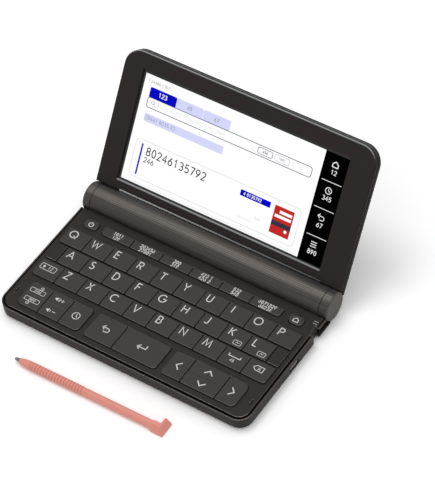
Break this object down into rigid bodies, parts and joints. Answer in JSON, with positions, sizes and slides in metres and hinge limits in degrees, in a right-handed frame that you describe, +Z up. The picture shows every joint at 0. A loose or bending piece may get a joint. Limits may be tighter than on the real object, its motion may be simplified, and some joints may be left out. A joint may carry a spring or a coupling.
{
  "type": "electronic dictionary",
  "caption": "Clamshell pocket dictionary: sprung keyboard in a rounded base, display lid on a battery barrel hinge, and a loose stylus with an L-shaped head.",
  "frame": {"origin": "on the table, under the middle of the whole part's bounding box", "axes": "+X to the right along the hinge, +Y from the front edge to the back, +Z up; the lid is drawn open"},
  "size_m": [0.155, 0.1624, 0.0796],
  "materials": {
    "case": "dark brown-black satin",
    "keys": "dark grey-brown, fine matt",
    "barrel": "dark bronze with fine lengthwise lines",
    "barrel_ends": "dark bronze, smooth satin",
    "trim": "polished",
    "display": "lit display under clear glass",
    "board": "green solder mask",
    "cells": "printed steel can",
    "feet": "black, matt",
    "stylus": "coral, satin"
  },
  "bodies": {
    "base": {"bottom_case": "case", "top_cover": "case", "key_board": "board", "battery_barrel": "barrel", "batteries": "cells", "rubber_feet": "feet"},
    "lid": {"lid_bezel": "case", "lid_back": "case", "display_panel": "display", "lid_trim": "trim", "hinge_caps": "barrel_ends"},
    "stylus": {"stylus": "stylus"},
    "battery_door": {"battery_door": "barrel"},
    "up_down_rocker": {"up_down_rocker": "keys"},
    "power_key": {"power_key": "keys"},
    "function_key_1": {"function_key_1": "keys"},
    "function_key_2": {"function_key_2": "keys"},
    "function_key_3": {"function_key_3": "keys"},
    "function_key_4": {"function_key_4": "keys"},
    "function_key_5": {"function_key_5": "keys"},
    "function_key_6": {"function_key_6": "keys"},
    "home_key": {"home_key": "keys"},
    "key_q": {"key_q": "keys"},
    "key_w": {"key_w": "keys"},
    "key_e": {"key_e": "keys"},
    "key_r": {"key_r": "keys"},
    "key_t": {"key_t": "keys"},
    "key_y": {"key_y": "keys"},
    "key_u": {"key_u": "keys"},
    "key_i": {"key_i": "keys"},
    "key_o": {"key_o": "keys"},
    "key_p": {"key_p": "keys"},
    "key_a": {"key_a": "keys"},
    "key_s": {"key_s": "keys"},
    "key_d": {"key_d": "keys"},
    "key_f": {"key_f": "keys"},
    "key_g": {"key_g": "keys"},
    "key_h": {"key_h": "keys"},
    "key_j": {"key_j": "keys"},
    "key_k": {"key_k": "keys"},
    "key_l": {"key_l": "keys"},
    "key_shift": {"key_shift": "keys"},
    "key_z": {"key_z": "keys"},
    "key_x": {"key_x": "keys"},
    "key_c": {"key_c": "keys"},
    "key_v": {"key_v": "keys"},
    "key_b": {"key_b": "keys"},
    "key_n": {"key_n": "keys"},
    "key_m": {"key_m": "keys"},
    "key_space": {"key_space": "keys"},
    "key_delete": {"key_delete": "keys"},
    "page_up_key": {"page_up_key": "keys"},
    "page_down_key": {"page_down_key": "keys"},
    "volume_up_key": {"volume_up_key": "keys"},
    "volume_down_key": {"volume_down_key": "keys"},
    "history_key": {"history_key": "keys"},
    "back_key": {"back_key": "keys"},
    "enter_key": {"enter_key": "keys"},
    "left_key": {"left_key": "keys"},
    "right_key": {"right_key": "keys"}
  },
  "joints": [
    {"name": "lid_hinge", "type": "hinge", "parent": "base", "child": "lid", "pos_m": [0, 0.02709, 0.009], "axis": [1, 0, 0], "range_deg": [-26, 124]},
    {"name": "stylus_lift", "type": "slide", "parent": "base", "child": "stylus", "axis": [0, 0, 1], "range_m": [0, 0.06]},
    {"name": "battery_door_slide", "type": "slide", "parent": "base", "child": "battery_door", "axis": [0, 1, 0], "range_m": [0, 0.006]},
    {"name": "up_down_rocker_tilt", "type": "hinge", "parent": "base", "child": "up_down_rocker", "pos_m": [0.0453, -0.04466, 0.0063], "axis": [1, 0, 0], "range_deg": [-3, 3], "stiffness_Nm_per_rad": 0.05},
    {"name": "enter_key_press", "type": "slide", "parent": "base", "child": "enter_key", "axis": [0, 0, -1], "range_m": [0, 0.0008], "stiffness_N_per_m": 600},
    {"name": "power_key_press", "type": "slide", "parent": "base", "child": "power_key", "axis": [0, 0, -1], "range_m": [0, 0.0008], "stiffness_N_per_m": 600},
    {"name": "key_q_press", "type": "slide", "parent": "base", "child": "key_q", "axis": [0, 0, -1], "range_m": [0, 0.0008], "stiffness_N_per_m": 600},
    {"name": "page_up_key_press", "type": "slide", "parent": "base", "child": "page_up_key", "axis": [0, 0, -1], "range_m": [0, 0.0008], "stiffness_N_per_m": 600},
    {"name": "key_space_press", "type": "slide", "parent": "base", "child": "key_space", "axis": [0, 0, -1], "range_m": [0, 0.0008], "stiffness_N_per_m": 600},
    {"name": "right_key_press", "type": "slide", "parent": "base", "child": "right_key", "axis": [0, 0, -1], "range_m": [0, 0.0008], "stiffness_N_per_m": 600},
    {"name": "function_key_1_press", "type": "slide", "parent": "base", "child": "function_key_1", "axis": [0, 0, -1], "range_m": [0, 0.0008], "stiffness_N_per_m": 600},
    {"name": "function_key_2_press", "type": "slide", "parent": "base", "child": "function_key_2", "axis": [0, 0, -1], "range_m": [0, 0.0008], "stiffness_N_per_m": 600},
    {"name": "function_key_3_press", "type": "slide", "parent": "base", "child": "function_key_3", "axis": [0, 0, -1], "range_m": [0, 0.0008], "stiffness_N_per_m": 600},
    {"name": "function_key_4_press", "type": "slide", "parent": "base", "child": "function_key_4", "axis": [0, 0, -1], "range_m": [0, 0.0008], "stiffness_N_per_m": 600},
    {"name": "function_key_5_press", "type": "slide", "parent": "base", "child": "function_key_5", "axis": [0, 0, -1], "range_m": [0, 0.0008], "stiffness_N_per_m": 600},
    {"name": "function_key_6_press", "type": "slide", "parent": "base", "child": "function_key_6", "axis": [0, 0, -1], "range_m": [0, 0.0008], "stiffness_N_per_m": 600},
    {"name": "home_key_press", "type": "slide", "parent": "base", "child": "home_key", "axis": [0, 0, -1], "range_m": [0, 0.0008], "stiffness_N_per_m": 600},
    {"name": "key_w_press", "type": "slide", "parent": "base", "child": "key_w", "axis": [0, 0, -1], "range_m": [0, 0.0008], "stiffness_N_per_m": 600},
    {"name": "key_e_press", "type": "slide", "parent": "base", "child": "key_e", "axis": [0, 0, -1], "range_m": [0, 0.0008], "stiffness_N_per_m": 600},
    {"name": "key_r_press", "type": "slide", "parent": "base", "child": "key_r", "axis": [0, 0, -1], "range_m": [0, 0.0008], "stiffness_N_per_m": 600},
    {"name": "key_t_press", "type": "slide", "parent": "base", "child": "key_t", "axis": [0, 0, -1], "range_m": [0, 0.0008], "stiffness_N_per_m": 600},
    {"name": "key_y_press", "type": "slide", "parent": "base", "child": "key_y", "axis": [0, 0, -1], "range_m": [0, 0.0008], "stiffness_N_per_m": 600},
    {"name": "key_u_press", "type": "slide", "parent": "base", "child": "key_u", "axis": [0, 0, -1], "range_m": [0, 0.0008], "stiffness_N_per_m": 600},
    {"name": "key_i_press", "type": "slide", "parent": "base", "child": "key_i", "axis": [0, 0, -1], "range_m": [0, 0.0008], "stiffness_N_per_m": 600},
    {"name": "key_o_press", "type": "slide", "parent": "base", "child": "key_o", "axis": [0, 0, -1], "range_m": [0, 0.0008], "stiffness_N_per_m": 600},
    {"name": "key_p_press", "type": "slide", "parent": "base", "child": "key_p", "axis": [0, 0, -1], "range_m": [0, 0.0008], "stiffness_N_per_m": 600},
    {"name": "key_a_press", "type": "slide", "parent": "base", "child": "key_a", "axis": [0, 0, -1], "range_m": [0, 0.0008], "stiffness_N_per_m": 600},
    {"name": "key_s_press", "type": "slide", "parent": "base", "child": "key_s", "axis": [0, 0, -1], "range_m": [0, 0.0008], "stiffness_N_per_m": 600},
    {"name": "key_d_press", "type": "slide", "parent": "base", "child": "key_d", "axis": [0, 0, -1], "range_m": [0, 0.0008], "stiffness_N_per_m": 600},
    {"name": "key_f_press", "type": "slide", "parent": "base", "child": "key_f", "axis": [0, 0, -1], "range_m": [0, 0.0008], "stiffness_N_per_m": 600},
    {"name": "key_g_press", "type": "slide", "parent": "base", "child": "key_g", "axis": [0, 0, -1], "range_m": [0, 0.0008], "stiffness_N_per_m": 600},
    {"name": "key_h_press", "type": "slide", "parent": "base", "child": "key_h", "axis": [0, 0, -1], "range_m": [0, 0.0008], "stiffness_N_per_m": 600},
    {"name": "key_j_press", "type": "slide", "parent": "base", "child": "key_j", "axis": [0, 0, -1], "range_m": [0, 0.0008], "stiffness_N_per_m": 600},
    {"name": "key_k_press", "type": "slide", "parent": "base", "child": "key_k", "axis": [0, 0, -1], "range_m": [0, 0.0008], "stiffness_N_per_m": 600},
    {"name": "key_l_press", "type": "slide", "parent": "base", "child": "key_l", "axis": [0, 0, -1], "range_m": [0, 0.0008], "stiffness_N_per_m": 600},
    {"name": "key_shift_press", "type": "slide", "parent": "base", "child": "key_shift", "axis": [0, 0, -1], "range_m": [0, 0.0008], "stiffness_N_per_m": 600},
    {"name": "key_z_press", "type": "slide", "parent": "base", "child": "key_z", "axis": [0, 0, -1], "range_m": [0, 0.0008], "stiffness_N_per_m": 600},
    {"name": "key_x_press", "type": "slide", "parent": "base", "child": "key_x", "axis": [0, 0, -1], "range_m": [0, 0.0008], "stiffness_N_per_m": 600},
    {"name": "key_c_press", "type": "slide", "parent": "base", "child": "key_c", "axis": [0, 0, -1], "range_m": [0, 0.0008], "stiffness_N_per_m": 600},
    {"name": "key_v_press", "type": "slide", "parent": "base", "child": "key_v", "axis": [0, 0, -1], "range_m": [0, 0.0008], "stiffness_N_per_m": 600},
    {"name": "key_b_press", "type": "slide", "parent": "base", "child": "key_b", "axis": [0, 0, -1], "range_m": [0, 0.0008], "stiffness_N_per_m": 600},
    {"name": "key_n_press", "type": "slide", "parent": "base", "child": "key_n", "axis": [0, 0, -1], "range_m": [0, 0.0008], "stiffness_N_per_m": 600},
    {"name": "key_m_press", "type": "slide", "parent": "base", "child": "key_m", "axis": [0, 0, -1], "range_m": [0, 0.0008], "stiffness_N_per_m": 600},
    {"name": "key_delete_press", "type": "slide", "parent": "base", "child": "key_delete", "axis": [0, 0, -1], "range_m": [0, 0.0008], "stiffness_N_per_m": 600},
    {"name": "page_down_key_press", "type": "slide", "parent": "base", "child": "page_down_key", "axis": [0, 0, -1], "range_m": [0, 0.0008], "stiffness_N_per_m": 600},
    {"name": "volume_up_key_press", "type": "slide", "parent": "base", "child": "volume_up_key", "axis": [0, 0, -1], "range_m": [0, 0.0008], "stiffness_N_per_m": 600},
    {"name": "volume_down_key_press", "type": "slide", "parent": "base", "child": "volume_down_key", "axis": [0, 0, -1], "range_m": [0, 0.0008], "stiffness_N_per_m": 600},
    {"name": "history_key_press", "type": "slide", "parent": "base", "child": "history_key", "axis": [0, 0, -1], "range_m": [0, 0.0008], "stiffness_N_per_m": 600},
    {"name": "back_key_press", "type": "slide", "parent": "base", "child": "back_key", "axis": [0, 0, -1], "range_m": [0, 0.0008], "stiffness_N_per_m": 600},
    {"name": "left_key_press", "type": "slide", "parent": "base", "child": "left_key", "axis": [0, 0, -1], "range_m": [0, 0.0008], "stiffness_N_per_m": 600}
  ]
}
